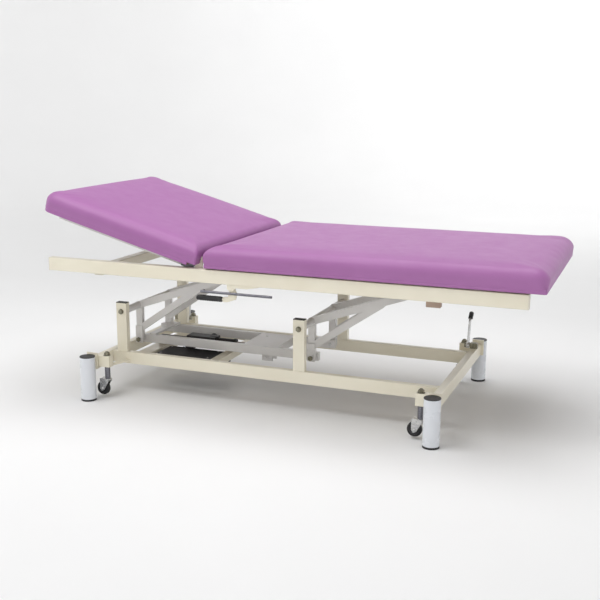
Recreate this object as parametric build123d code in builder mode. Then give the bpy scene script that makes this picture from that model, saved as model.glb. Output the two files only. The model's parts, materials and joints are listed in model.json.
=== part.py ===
from build123d import *
import os
from math import atan2, cos, degrees, radians, sin, tan

os.makedirs("parts", exist_ok=True)

# Examination couch with a hinged back section and a powered parallel lift.
# Millimetres. +X runs from the head end to the foot end, +Z is up and the
# floor is Z = 0. The origin is the middle of the whole couch on the floor.

# ---------------------------------------------------------------- driving dimensions
LEG_X = 704.5           # leg axis from the base middle
LEG_Y = 432.0
LEG_R = 30.5
LEG_TOP = 182.0
CAP_T = 3.0             # black discs under and over a leg

TUBE_BOTTOM = 119.0     # base frame tubes
TUBE_TOP = 169.0
RAIL_OUT = 272.0        # outer face of the base rails
RAIL_W = 25.0
CROSS_OUT = 716.0       # outer face of the crossbars, from the base middle
CROSS_W = 30.0
CROSS_END = 394.0       # half length of the crossbars
WALL = 2.5

PIVOT_X = {"head": -640.0, "foot": 141.0}
PIVOT_Z = 336.0
POST_W = 46.0
POST_TOP = 372.0
LEVER_LEN = 520.0       # pivot to top pin
LEVER_ANGLE = 19.1      # lever above the horizontal, as the couch stands
DROP = 149.0            # pivot to drive pin, straight down as the couch stands
LEVER_IN = 113.0        # inner face of the lever side frames
LEVER_T = 20.0

TOP_RAIL_IN = 375.0     # top frame side rails
TOP_RAIL_W = 30.0
TOP_RAIL_BOTTOM = 515.0
TOP_RAIL_TOP = 567.0
TOP_HEAD_X = -882.0     # ends of the top rails, from the base middle
TOP_FOOT_X = 1008.0
TOP_CROSS_TOP = 573.0   # cross tubes carry the seat board

PAD_BOTTOM = 573.0
PAD_T = 78.0
PAD_HALF = 428.0
TOP_ROUND = 11.0        # rounding of the cushions' upper edges
FOOT_CORNER = 40.0      # corners of the cushions, seen from above
HINGE_ROUND = 40.0      # upper hinge edge of the back cushion, so it clears the seat
HEAD_CORNER = 52.0
BOARD_T = 8.0
BOARD_INSET = 15.0
SEAT_HEAD_X = -189.0
SEAT_FOOT_X = 1078.0
HINGE_X = -227.0        # back section hinge
HINGE_Z = 600.0
BACK_LEN = 687.0        # hinge to head end
BACK_OVER = 14.0        # cushion past the hinge
BACK_ANGLE = 15.4       # back section above the horizontal

ACT_Z = 171.0           # lift actuator axis
GAS_Z = 506.7           # gas spring axis
FIT = 0.05              # radial clearance of a running pin

# The raised head end and the foot end are equally far from the origin.
BACK_LOW = PAD_BOTTOM - HINGE_Z
HEAD_TIP = HINGE_X - BACK_LEN * cos(radians(BACK_ANGLE)) + BACK_LOW * sin(radians(BACK_ANGLE))
BASE_X = -(SEAT_FOOT_X + HEAD_TIP) / 2      # middle of the base, along X

# The tilted frame of the back section: its origin is the hinge axis.
BACK = Plane(
    origin=(BASE_X + HINGE_X, 0, HINGE_Z),
    x_dir=(cos(radians(BACK_ANGLE)), 0, -sin(radians(BACK_ANGLE))),
    z_dir=(sin(radians(BACK_ANGLE)), 0, cos(radians(BACK_ANGLE))),
)
LEAN = radians(LEVER_ANGLE)
ENDS = (-1, 1)          # head end, foot end
SIDES = (-1, 1)         # near side, far side
END_NAMES = ("head", "foot")
SIDE_NAMES = ("near", "far")


def save(builder, name):
    """Label a finished sub-part and write its STEP file."""
    builder.part.label = name
    export_step(builder.part, f"parts/{name}.step")


def block(x0, x1, y0, y1, z0, z1, mode=Mode.ADD):
    """A box between two corners, measured from the base middle along X."""
    with BuildSketch(Plane.XY.offset(z0)) as profile:
        with Locations((BASE_X + (x0 + x1) / 2, (y0 + y1) / 2)):
            Rectangle(abs(x1 - x0), abs(y1 - y0))
    extrude(profile.sketch, amount=z1 - z0, mode=mode)


def rod_y(x, z, y0, y1, radius, mode=Mode.ADD):
    """A round bar along Y between y0 and y1."""
    low, high = min(y0, y1), max(y0, y1)
    with BuildSketch(Plane(origin=(BASE_X + x, low, z), x_dir=(1, 0, 0), z_dir=(0, 1, 0))) as profile:
        Circle(radius)
    extrude(profile.sketch, amount=high - low, mode=mode)


def rod_x(y, z, x0, x1, radius, mode=Mode.ADD):
    """A round bar along X between x0 and x1."""
    with BuildSketch(Plane(origin=(BASE_X + x0, y, z), x_dir=(0, 1, 0), z_dir=(1, 0, 0))) as profile:
        Circle(radius)
    extrude(profile.sketch, amount=x1 - x0, mode=mode)


def rod_z(x, y, z0, z1, radius, mode=Mode.ADD):
    """An upright round bar between z0 and z1."""
    with BuildSketch(Plane.XY.offset(z0)) as profile:
        with Locations((BASE_X + x, y)):
            Circle(radius)
    extrude(profile.sketch, amount=z1 - z0, mode=mode)


def tube(plane, width, height, length):
    """A rectangular tube with rounded corners, drawn out from a plane."""
    with BuildSketch(plane) as profile:
        RectangleRounded(width, height, 3)
        RectangleRounded(width - 2 * WALL, height - 2 * WALL, 1.5, mode=Mode.SUBTRACT)
    extrude(profile.sketch, amount=length)


def tube_x(x0, x1, y_mid, z_mid, width, height):
    """A rectangular tube along X."""
    tube(Plane(origin=(BASE_X + x0, y_mid, z_mid), x_dir=(0, 1, 0), z_dir=(1, 0, 0)), width, height, x1 - x0)


def tube_y(y0, y1, x_mid, z_mid, width, height):
    """A rectangular tube along Y; its width lies along X."""
    tube(Plane(origin=(BASE_X + x_mid, y0, z_mid), x_dir=(1, 0, 0), z_dir=(0, 1, 0)), width, height, y1 - y0)


def side_sketch_plane(y):
    """A plane facing +Y at the given y, with local x along -X and local y up."""
    return Plane(origin=(BASE_X, y, 0), x_dir=(-1, 0, 0), z_dir=(0, 1, 0))


# ---------------------------------------------------------------- base frame
CROSS_IN = CROSS_OUT - CROSS_W
with BuildPart() as base_rails:
    for side in SIDES:
        tube_x(-CROSS_IN, CROSS_IN, side * (RAIL_OUT - RAIL_W / 2), (TUBE_BOTTOM + TUBE_TOP) / 2,
               RAIL_W, TUBE_TOP - TUBE_BOTTOM)
save(base_rails, "base_rails")

with BuildPart() as base_crossbars:
    for end in ENDS:
        tube_y(-CROSS_END, CROSS_END, end * (CROSS_OUT - CROSS_W / 2), (TUBE_BOTTOM + TUBE_TOP) / 2,
               CROSS_W, TUBE_TOP - TUBE_BOTTOM)
save(base_crossbars, "base_crossbars")

MEMBER_TOP = 149.0      # low cross members that carry the drive
MEMBER_X = (-586.0, -262.0)
with BuildPart() as base_cross_members:
    for member_x, member_w in zip(MEMBER_X, (60, 40)):
        tube_y(-(RAIL_OUT - RAIL_W), RAIL_OUT - RAIL_W, member_x, (TUBE_BOTTOM + MEMBER_TOP) / 2,
               member_w, MEMBER_TOP - TUBE_BOTTOM)
save(base_cross_members, "base_cross_members")

# End plates close the crossbars and hold the legs.
PLATE_T = 6.0
with BuildPart() as leg_plates:
    for end in ENDS:
        for side in SIDES:
            y_in = side * CROSS_END
            y_out = side * (CROSS_END + PLATE_T)
            block(end * LEG_X - 24, end * LEG_X + 24, y_in, y_out, 122, 188)
            # a saddle between the plate and the leg
            block(end * LEG_X - 14, end * LEG_X + 14, y_out, side * (LEG_Y - 20), 126, 178)
            rod_z(end * LEG_X, side * LEG_Y, 120, 190, LEG_R, mode=Mode.SUBTRACT)
save(leg_plates, "leg_plates")

with BuildPart() as legs:
    for end in ENDS:
        for side in SIDES:
            rod_z(end * LEG_X, side * LEG_Y, 8, LEG_TOP - CAP_T, LEG_R)
            rod_z(end * LEG_X, side * LEG_Y, 8, LEG_TOP - CAP_T, LEG_R - 3, mode=Mode.SUBTRACT)
save(legs, "legs")

with BuildPart() as leg_end_caps:
    for end in ENDS:
        for side in SIDES:
            rod_z(end * LEG_X, side * LEG_Y, 0, 8, LEG_R)
            rod_z(end * LEG_X, side * LEG_Y, 8, 24, LEG_R - 3)
            rod_z(end * LEG_X, side * LEG_Y, LEG_TOP - CAP_T, LEG_TOP, LEG_R)
            rod_z(end * LEG_X, side * LEG_Y, LEG_TOP - 18, LEG_TOP - CAP_T, LEG_R - 3)
save(leg_end_caps, "leg_end_caps")

# ---------------------------------------------------------------- retracting casters
CASTER_X = 650.0
CASTER_Y = 374.0
STEM_R = 11.0
BLOCK_LOW, BLOCK_HIGH = 130.0, 176.0
WHEEL_R = 28.0
WHEEL_Z = 38.0
TRAIL = 20.0
CROWN_LOW, CROWN_HIGH = 74.0, 80.0
STEM_LOW = 81.0

# Each block slides its caster stem and is tied back to the rail by a flat strip.
with BuildPart() as caster_blocks:
    for end in ENDS:
        for side in SIDES:
            x_near, x_far = end * 632, end * CROSS_IN
            block(x_near, x_far, side * (CASTER_Y - 15), side * (CASTER_Y + 15), BLOCK_LOW, BLOCK_HIGH)
            with BuildSketch(Plane.XY.offset(BLOCK_LOW)):
                with BuildLine():
                    Polyline(
                        (BASE_X + end * 636, side * (CASTER_Y - 15)),
                        (BASE_X + end * 656, side * (CASTER_Y - 15)),
                        (BASE_X + end * 626, side * RAIL_OUT),
                        (BASE_X + end * 604, side * RAIL_OUT),
                        close=True,
                    )
                make_face()
            extrude(amount=6)
            rod_z(end * CASTER_X, side * CASTER_Y, BLOCK_LOW - 1, BLOCK_HIGH + 1, STEM_R + FIT,
                  mode=Mode.SUBTRACT)
save(caster_blocks, "caster_blocks")

for end, end_name in zip(ENDS, END_NAMES):
    for side, side_name in zip(SIDES, SIDE_NAMES):
        x, y = end * CASTER_X, side * CASTER_Y
        with BuildPart() as caster_stem:
            rod_z(x, y, STEM_LOW, BLOCK_HIGH - 3, STEM_R)
            rod_z(x, y, STEM_LOW - 1, STEM_LOW + 22, 5 + FIT, mode=Mode.SUBTRACT)
        save(caster_stem, f"caster_stem_{end_name}_{side_name}")

        with BuildPart() as caster_fork:
            rod_z(x, y, CROWN_LOW, CROWN_HIGH, 15)
            rod_z(x, y, CROWN_HIGH, STEM_LOW + 20, 5)
            block(x - TRAIL - 6, x, y - 13.5, y + 13.5, CROWN_LOW, CROWN_HIGH)
            for cheek in SIDES:
                plane = side_sketch_plane(y + cheek * 13.5)
                with BuildSketch(plane):
                    with BuildLine():
                        Polyline(
                            (-x - 10, CROWN_HIGH), (-x + TRAIL + 10, CROWN_HIGH),
                            (-x + TRAIL + 10, WHEEL_Z), (-x + TRAIL + 3, WHEEL_Z - 11),
                            (-x + TRAIL - 9, WHEEL_Z - 6), (-x - 10, CROWN_LOW - 4),
                            close=True,
                        )
                    make_face()
                extrude(amount=-cheek * 2.5)
            rod_y(x - TRAIL, WHEEL_Z, y - 16, y + 16, 4)
        save(caster_fork, f"caster_fork_{end_name}_{side_name}")

        with BuildPart() as caster_wheel:
            profile = Plane(origin=(BASE_X + x - TRAIL, y, WHEEL_Z), x_dir=(1, 0, 0), z_dir=(0, 0, 1))
            with BuildSketch(profile):
                with BuildLine():
                    Polyline(
                        (4 + FIT, -10), (10, -10), (12, -8.5), (19, -8.5), (22, -9.5),
                        (WHEEL_R - 2, -8), (WHEEL_R, -4), (WHEEL_R, 4), (WHEEL_R - 2, 8), (22, 9.5),
                        (19, 8.5), (12, 8.5), (10, 10), (4 + FIT, 10), close=True,
                    )
                make_face()
            revolve(axis=Axis(origin=(BASE_X + x - TRAIL, y, WHEEL_Z), direction=(0, 1, 0)))
        save(caster_wheel, f"caster_wheel_{end_name}_{side_name}")

# Pedals stand on the far side, one for each pair of casters.
PEDAL_X = {"head": -646.0, "foot": 675.0}
PEDAL_Y = 325.0
PEDAL_Z = 180.0
PEDAL_LEAN = 12.0
PEDAL_LEN = 104.0
GRIP_LEN = 42.0
GRIP_TILT = 48.0
ROD_R = 5.5
for end, end_name in zip(ENDS, END_NAMES):
    px = PEDAL_X[end_name]
    lean = radians(PEDAL_LEAN)
    tilt = radians(GRIP_TILT)
    knee = (PEDAL_Y + PEDAL_LEN * sin(lean), PEDAL_Z + PEDAL_LEN * cos(lean))
    up = Plane(origin=(BASE_X + px, PEDAL_Y, PEDAL_Z), x_dir=(1, 0, 0), z_dir=(0, sin(lean), cos(lean)))
    out = Plane(origin=(BASE_X + px, *knee), x_dir=(1, 0, 0), z_dir=(0, sin(tilt), cos(tilt)))
    foot_of_rod = up.origin + up.z_dir * 9
    tip_of_rod = out.origin + out.z_dir * (GRIP_LEN - 6)
    with BuildPart() as pedal_lever:
        with BuildLine():
            FilletPolyline(foot_of_rod, out.origin, tip_of_rod, radius=14)
        with BuildSketch(up.offset(9)):
            Circle(ROD_R)
        sweep()
        rod_x(PEDAL_Y, PEDAL_Z, px - 7, px + 7, 12)
        rod_x(PEDAL_Y, PEDAL_Z, px - 8, px + 8, 5 + FIT, mode=Mode.SUBTRACT)
    save(pedal_lever, f"pedal_lever_{end_name}")
    with BuildPart() as pedal_grip:
        with BuildSketch(out.offset(10)):
            Circle(9)
        extrude(amount=GRIP_LEN - 10)
        fillet(pedal_grip.edges().group_by(Axis.Z)[-1], 3)
        with BuildSketch(out):
            Circle(ROD_R)
        extrude(amount=GRIP_LEN - 6, mode=Mode.SUBTRACT)
    save(pedal_grip, f"pedal_grip_{end_name}")

# ---------------------------------------------------------------- lift posts
with BuildPart() as lift_posts:
    for x in PIVOT_X.values():
        for side in SIDES:
            block(x - POST_W / 2, x + POST_W / 2, side * RAIL_OUT, side * (RAIL_OUT - RAIL_W),
                  TUBE_TOP, POST_TOP)
            rod_y(x, PIVOT_Z, side * (RAIL_OUT - RAIL_W - 1), side * (RAIL_OUT + 1), 6 + FIT,
                  mode=Mode.SUBTRACT)
save(lift_posts, "lift_posts")

with BuildPart() as post_caps:
    for x in PIVOT_X.values():
        for side in SIDES:
            block(x - POST_W / 2, x + POST_W / 2, side * RAIL_OUT, side * (RAIL_OUT - RAIL_W),
                  POST_TOP, POST_TOP + 3)
    chamfer(post_caps.faces().sort_by(Axis.Z)[-4:].edges(), 1)
save(post_caps, "post_caps")

# Pivot bolts carry the lever shafts; dome nuts close the caster guides and hold the pedals.
with BuildPart() as base_fasteners:
    for end, end_name in zip(ENDS, END_NAMES):
        x = PIVOT_X[end_name]
        for side in SIDES:
            rod_y(x, PIVOT_Z, side * 205, side * RAIL_OUT, 6)
            rod_y(x, PIVOT_Z, side * RAIL_OUT, side * (RAIL_OUT + 2), 11)
            rod_y(x, PIVOT_Z, side * (RAIL_OUT + 2), side * (RAIL_OUT + 8), 8.5)
            rod_z(end * CASTER_X, side * CASTER_Y, BLOCK_HIGH, BLOCK_HIGH + 2, 14)
            rod_z(end * CASTER_X, side * CASTER_Y, BLOCK_HIGH + 2, BLOCK_HIGH + 11, 10)
        px = PEDAL_X[end_name]
        rod_x(PEDAL_Y, PEDAL_Z, min(px, end * CROSS_IN) - (0 if end < 0 else 14),
              max(px, end * CROSS_IN) + (14 if end < 0 else 0), 5)
        tip = px - end * 14
        rod_x(PEDAL_Y, PEDAL_Z, min(tip, px - end * 7.5), max(tip, px - end * 7.5), 10)
        # boss that carries the pedal pin, standing on the crossbar
        block(end * CROSS_IN, end * CROSS_OUT, PEDAL_Y - 12, PEDAL_Y + 12, TUBE_TOP, PEDAL_Z + 12)
save(base_fasteners, "base_fasteners")

# ---------------------------------------------------------------- lift levers
ARM_H = 30.0
PIN_R = 6.0
BRACE_FOOT_Z = PIVOT_Z - 104
BRACE_REACH = 300.0


def lever_outline(pivot_x):
    """Side outline of a bell-crank lever, drawn with local x along -X."""
    tip = (-(pivot_x + LEVER_LEN * cos(LEAN)), PIVOT_Z + LEVER_LEN * sin(LEAN))
    pivot = (-pivot_x, PIVOT_Z)
    drive = (-pivot_x, PIVOT_Z - DROP)
    joint = (-(pivot_x + BRACE_REACH * cos(LEAN)), PIVOT_Z + BRACE_REACH * sin(LEAN) - 8)
    low = (-pivot_x, BRACE_FOOT_Z)
    for start, stop, height in ((pivot, tip, ARM_H), (pivot, drive, 28), (low, joint, 28)):
        length = ((stop[0] - start[0]) ** 2 + (stop[1] - start[1]) ** 2) ** 0.5
        middle = ((start[0] + stop[0]) / 2, (start[1] + stop[1]) / 2)
        turn = degrees(atan2(stop[1] - start[1], stop[0] - start[0]))
        with Locations(Location((*middle, 0), (0, 0, turn))):
            SlotCenterToCenter(length, height)


for end_name, pivot_x in PIVOT_X.items():
    tip_x = pivot_x + LEVER_LEN * cos(LEAN)
    tip_z = PIVOT_Z + LEVER_LEN * sin(LEAN)
    with BuildPart() as lever_sides:
        for side in SIDES:
            with BuildSketch(side_sketch_plane(side * LEVER_IN)):
                lever_outline(pivot_x)
            extrude(amount=side * LEVER_T)
            y0, y1 = side * (LEVER_IN - 1), side * (LEVER_IN + LEVER_T + 1)
            rod_y(pivot_x, PIVOT_Z, y0, y1, 15.02, mode=Mode.SUBTRACT)
            rod_y(tip_x, tip_z, y0, y1, PIN_R + 0.02, mode=Mode.SUBTRACT)
            rod_y(pivot_x, PIVOT_Z - DROP, y0, y1, PIN_R + 0.02, mode=Mode.SUBTRACT)
            # doubler plate at the drive pin
            y_face = side * (LEVER_IN + LEVER_T)
            block(pivot_x - 16, pivot_x + 16, y_face, y_face + side * 4, PIVOT_Z - DROP - 15, BRACE_FOOT_Z + 14)
            rod_y(pivot_x, PIVOT_Z - DROP, y_face, y_face + side * 5, PIN_R + 0.02, mode=Mode.SUBTRACT)
    save(lever_sides, f"{end_name}_lever_sides")

    with BuildPart() as lever_shaft:
        rod_y(pivot_x, PIVOT_Z, -246, 246, 15)
        for side in SIDES:
            rod_y(pivot_x, PIVOT_Z, side * 200, side * 247, 6 + FIT, mode=Mode.SUBTRACT)
    save(lever_shaft, f"{end_name}_lever_shaft")

    with BuildPart() as lever_pins:
        for side in SIDES:
            rod_y(pivot_x, PIVOT_Z - DROP, side * 86, side * 137, PIN_R)
            rod_y(pivot_x, PIVOT_Z - DROP, side * 137, side * 143, 9)
            rod_y(tip_x, tip_z, side * 100, side * 146, PIN_R)
    save(lever_pins, f"{end_name}_lever_pins")

# ---------------------------------------------------------------- push frame and actuator
BAR_IN = 90.0
BAR_W = 20.0
with BuildPart() as push_bars:
    for side in SIDES:
        block(PIVOT_X["head"] - 22, PIVOT_X["foot"] + 22, side * BAR_IN, side * (BAR_IN + BAR_W),
              PIVOT_Z - DROP - 17, PIVOT_Z - DROP + 17)
        for x in PIVOT_X.values():
            rod_y(x, PIVOT_Z - DROP, side * (BAR_IN - 1), side * (BAR_IN + BAR_W + 1),
                  PIN_R + FIT, mode=Mode.SUBTRACT)
save(push_bars, "push_bars")

DRIVE_X = -96.0         # actuator pin as the couch stands
PLATE_TOP = PIVOT_Z - DROP + 17
SLOT_W = 17.0
with BuildPart() as drive_plate:
    block(DRIVE_X - 75, DRIVE_X + 75, -BAR_IN, BAR_IN, PLATE_TOP - 5, PLATE_TOP)
    block(DRIVE_X + 70, DRIVE_X + 75, -BAR_IN, BAR_IN, PLATE_TOP - 34, PLATE_TOP - 5)
    for side in SIDES:
        block(DRIVE_X - 24, DRIVE_X + 24, side * 18, side * 24, PLATE_TOP - 84, PLATE_TOP - 5)
        block(DRIVE_X - SLOT_W / 2, DRIVE_X + SLOT_W / 2, side * 17, side * 25,
              ACT_Z - 38, ACT_Z + 8, mode=Mode.SUBTRACT)
    block(DRIVE_X - 40, DRIVE_X - 30, 52, 60, PLATE_TOP - 6, PLATE_TOP + 1, mode=Mode.SUBTRACT)
save(drive_plate, "drive_plate")

with BuildPart() as push_ties:
    for tie_x in (PIVOT_X["head"] + 50, PIVOT_X["foot"] - 45):
        block(tie_x - 15, tie_x + 15, -BAR_IN - BAR_W, BAR_IN + BAR_W, PLATE_TOP, PLATE_TOP + 8)
save(push_ties, "push_ties")

HOUSING_X0, HOUSING_X1 = -470.0, -340.0
TUBE_END = -250.0
with BuildPart() as actuator_housing:
    block(HOUSING_X0, HOUSING_X1, -32, 32, MEMBER_TOP, MEMBER_TOP + 46)
    fillet(actuator_housing.edges().filter_by(Axis.X), 7)
    rod_x(0, ACT_Z, HOUSING_X1 - 30, HOUSING_X1 + 6, 26)
    block(-614, HOUSING_X0, -16, 16, MEMBER_TOP, MEMBER_TOP + 28)
    rod_x(0, ACT_Z, HOUSING_X1 - 120, HOUSING_X1 + 7, 20.05, mode=Mode.SUBTRACT)
save(actuator_housing, "actuator_housing")

with BuildPart() as actuator_tube:
    rod_x(0, ACT_Z, HOUSING_X1 - 119, TUBE_END, 20)
    rod_x(0, ACT_Z, HOUSING_X1 - 100, TUBE_END + 1, 11.5 + FIT, mode=Mode.SUBTRACT)
save(actuator_tube, "actuator_tube")

with BuildPart() as actuator_rod:
    rod_x(0, ACT_Z, TUBE_END - 110, DRIVE_X + 14, 11.5)
    rod_y(DRIVE_X, ACT_Z, -32, 32, 5)
save(actuator_rod, "actuator_rod")

with BuildPart() as control_box:
    block(-540, -250, -176, -46, 92, TUBE_BOTTOM + 28)
    fillet(control_box.edges().filter_by(Axis.Z), 14)
    chamfer(control_box.faces().sort_by(Axis.Z)[-1].edges(), 4)
    block(MEMBER_X[1] - 21, MEMBER_X[1] + 21, -200, 0, TUBE_BOTTOM - 1, MEMBER_TOP, mode=Mode.SUBTRACT)
save(control_box, "control_box")

# ---------------------------------------------------------------- top frame
TIP_X = {name: x + LEVER_LEN * cos(LEAN) for name, x in PIVOT_X.items()}
TIP_Z = PIVOT_Z + LEVER_LEN * sin(LEAN)
with BuildPart() as top_rails:
    for side in SIDES:
        tube_x(TOP_HEAD_X, TOP_FOOT_X, side * (TOP_RAIL_IN + TOP_RAIL_W / 2),
               (TOP_RAIL_BOTTOM + TOP_RAIL_TOP) / 2, TOP_RAIL_W, TOP_RAIL_TOP - TOP_RAIL_BOTTOM)
save(top_rails, "top_rails")

CROSS_TOP_LOW = TOP_CROSS_TOP - 40
GAS_ANCHOR_X = 170.0
with BuildPart() as top_cross_tubes:
    for cross_x in (TIP_X["head"], GAS_ANCHOR_X, TIP_X["foot"], TOP_FOOT_X - 40):
        tube_y(-TOP_RAIL_IN, TOP_RAIL_IN, cross_x, CROSS_TOP_LOW + 20, 40, 40)
    tube_y(-TOP_RAIL_IN, TOP_RAIL_IN, -672, 524, 40, 38)
save(top_cross_tubes, "top_cross_tubes")

with BuildPart() as frame_lugs:
    for name in ("head", "foot"):
        for side in SIDES:
            for y_lug in (LEVER_IN - 9, LEVER_IN + LEVER_T + 3):
                block(TIP_X[name] - 16, TIP_X[name] + 16, side * y_lug, side * (y_lug + 6), TIP_Z, CROSS_TOP_LOW)
                rod_y(TIP_X[name], TIP_Z, side * y_lug, side * (y_lug + 6), 16)
                rod_y(TIP_X[name], TIP_Z, side * (y_lug - 1), side * (y_lug + 7), PIN_R + FIT,
                      mode=Mode.SUBTRACT)
    # anchor of the gas spring
    block(GAS_ANCHOR_X - 18, GAS_ANCHOR_X + 18, -14, 14, GAS_Z - 16, CROSS_TOP_LOW)
    rod_x(0, GAS_Z, GAS_ANCHOR_X - 19, GAS_ANCHOR_X + 19, 11, mode=Mode.SUBTRACT)
save(frame_lugs, "frame_lugs")

with BuildPart() as rail_end_caps:
    for side in SIDES:
        for x_end, way in ((TOP_HEAD_X, -1), (TOP_FOOT_X, 1)):
            y_mid = side * (TOP_RAIL_IN + TOP_RAIL_W / 2)
            z_mid = (TOP_RAIL_BOTTOM + TOP_RAIL_TOP) / 2
            block(min(x_end, x_end + way * 3), max(x_end, x_end + way * 3), y_mid - 15, y_mid + 15,
                  TOP_RAIL_BOTTOM, TOP_RAIL_TOP)
            block(min(x_end, x_end - way * 12), max(x_end, x_end - way * 12), y_mid - 12, y_mid + 12,
                  z_mid - 23, z_mid + 23)
save(rail_end_caps, "rail_end_caps")

with BuildPart() as rail_stops:
    for side in SIDES:
        block(662, 714, side * 380, side * 400, TOP_RAIL_BOTTOM - 20, TOP_RAIL_BOTTOM)
    fillet(rail_stops.edges().filter_by(Axis.Y), 3)
save(rail_stops, "rail_stops")

# Hinge lugs stand on the inner faces of the rails and carry the back section.
with BuildPart() as hinge_lugs:
    for side in SIDES:
        block(HINGE_X - 15, HINGE_X + 15, side * 368, side * TOP_RAIL_IN, 530, HINGE_Z)
        rod_y(HINGE_X, HINGE_Z, side * 368, side * TOP_RAIL_IN, 15)
        rod_y(HINGE_X, HINGE_Z, side * 367, side * 376, PIN_R + FIT, mode=Mode.SUBTRACT)
save(hinge_lugs, "hinge_lugs")

with BuildPart() as seat_board:
    block(SEAT_HEAD_X + BOARD_INSET, SEAT_FOOT_X - BOARD_INSET, -(PAD_HALF - BOARD_INSET),
          PAD_HALF - BOARD_INSET, PAD_BOTTOM, PAD_BOTTOM + BOARD_T)
save(seat_board, "seat_board")

with BuildPart() as seat_cushion:
    block(SEAT_HEAD_X, SEAT_FOOT_X, -PAD_HALF, PAD_HALF, PAD_BOTTOM, PAD_BOTTOM + PAD_T)
    fillet(seat_cushion.edges().filter_by(Axis.Z).sort_by(Axis.X)[-2:], FOOT_CORNER)
    fillet(seat_cushion.edges().filter_by(Axis.Z).sort_by(Axis.X)[:2], TOP_ROUND + 2)
    fillet(seat_cushion.faces().sort_by(Axis.Z)[-1].edges(), TOP_ROUND)
    block(SEAT_HEAD_X + BOARD_INSET, SEAT_FOOT_X - BOARD_INSET, -(PAD_HALF - BOARD_INSET),
          PAD_HALF - BOARD_INSET, PAD_BOTTOM, PAD_BOTTOM + BOARD_T, mode=Mode.SUBTRACT)
save(seat_cushion, "seat_cushion")

# Gas spring under the seat; its rod carries a cross pin.
GAS_END = -20.0
PIN_OFFSET = HINGE_Z - GAS_Z
GAS_SWING = 30.0        # back angle at which the crank points straight down
GAS_PIN_X = HINGE_X + PIN_OFFSET * tan(radians(GAS_SWING - BACK_ANGLE))
with BuildPart() as gas_spring_cylinder:
    rod_x(0, GAS_Z, GAS_END, GAS_ANCHOR_X + 19, 11)
    rod_x(0, GAS_Z, GAS_END - 1, GAS_ANCHOR_X, 5 + FIT, mode=Mode.SUBTRACT)
save(gas_spring_cylinder, "gas_spring_cylinder")

with BuildPart() as gas_spring_rod:
    rod_x(0, GAS_Z, GAS_PIN_X - 10, GAS_END + 85, 5)
    rod_y(GAS_PIN_X, GAS_Z, -24, 24, 5)
save(gas_spring_rod, "gas_spring_rod")

# Release handle below the near rail.
RELEASE_X, RELEASE_Z = -81.0, 500.0
HANDLE_Y = -390.5
ROD_Y, ROD_Z = -399.0, 481.0
GRIP_Z = 455.0
with BuildPart() as release_hanger:
    with BuildSketch(side_sketch_plane(-402)):
        with BuildLine():
            Polyline((97, 515), (97, 500), (90, 492), (72, 492), (62, 504), (15, 504), (-32, 513),
                     (-32, 515), close=True)
        make_face()
    extrude(amount=5)
    block(RELEASE_X - 10, RELEASE_X + 10, -386, -380, RELEASE_Z - 10, TOP_RAIL_BOTTOM)
    rod_y(RELEASE_X, RELEASE_Z, -403, -380, 5)
save(release_hanger, "release_hanger")

with BuildPart() as release_bracket:
    with BuildSketch(side_sketch_plane(HANDLE_Y - 3.5)):
        with BuildLine():
            Polyline((89, 496), (73, 504), (60, 480), (66, 458), (100, 446), (118, 446),
                     (118, 464), (97, 466), close=True)
        make_face()
        with Locations((-RELEASE_X, RELEASE_Z)):
            Circle(9)
    extrude(amount=7)
    block(-80, -64, ROD_Y, HANDLE_Y - 3.5, ROD_Z - 7, ROD_Z + 7)
    rod_y(RELEASE_X, RELEASE_Z, -395, -386, 5 + FIT, mode=Mode.SUBTRACT)
    rod_x(ROD_Y, ROD_Z, -81, -63, 5, mode=Mode.SUBTRACT)
    rod_x(HANDLE_Y, GRIP_Z, -224, -110, 5)
save(release_bracket, "release_bracket")

with BuildPart() as release_grip:
    rod_x(HANDLE_Y, GRIP_Z, -228, -121, 10)
    fillet(release_grip.edges(), 4)
    rod_x(HANDLE_Y, GRIP_Z, -224, -119, 5, mode=Mode.SUBTRACT)
save(release_grip, "release_grip")

with BuildPart() as release_rod:
    rod_x(ROD_Y, ROD_Z, -208, 84, 5)
    rod_y(-203, ROD_Z, ROD_Y, -378, 4)
save(release_rod, "release_rod")

# ---------------------------------------------------------------- back section
def back_block(u0, u1, y0, y1, w0, w1, mode=Mode.ADD):
    """A box in the tilted frame of the back section."""
    with BuildSketch(BACK.offset(w0)) as profile:
        with Locations(((u0 + u1) / 2, (y0 + y1) / 2)):
            Rectangle(abs(u1 - u0), abs(y1 - y0))
    extrude(profile.sketch, amount=w1 - w0, mode=mode)


with BuildPart() as back_cushion:
    with BuildSketch(BACK.offset(BACK_LOW)):
        with Locations(((BACK_OVER - BACK_LEN) / 2, 0)):
            Rectangle(BACK_LEN + BACK_OVER, 2 * PAD_HALF)
    extrude(amount=PAD_T)
    uprights = back_cushion.edges().filter_by(lambda edge: abs(edge.length - PAD_T) < 0.01)
    fillet(uprights.sort_by(Axis.X)[:2], HEAD_CORNER)
    hinge_top = back_cushion.edges().sort_by(Axis((0, 0, 0), (cos(radians(40)), 0, sin(radians(40)))))[-1]
    fillet(hinge_top, HINGE_ROUND)
    back_block(BOARD_INSET - BACK_LEN, -26, -(PAD_HALF - BOARD_INSET), PAD_HALF - BOARD_INSET,
               BACK_LOW, BACK_LOW + BOARD_T, mode=Mode.SUBTRACT)
    for side in SIDES:
        back_block(-44, BACK_OVER + 1, side * 354, side * 386, BACK_LOW - 1, 22, mode=Mode.SUBTRACT)
save(back_cushion, "back_cushion")

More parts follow.
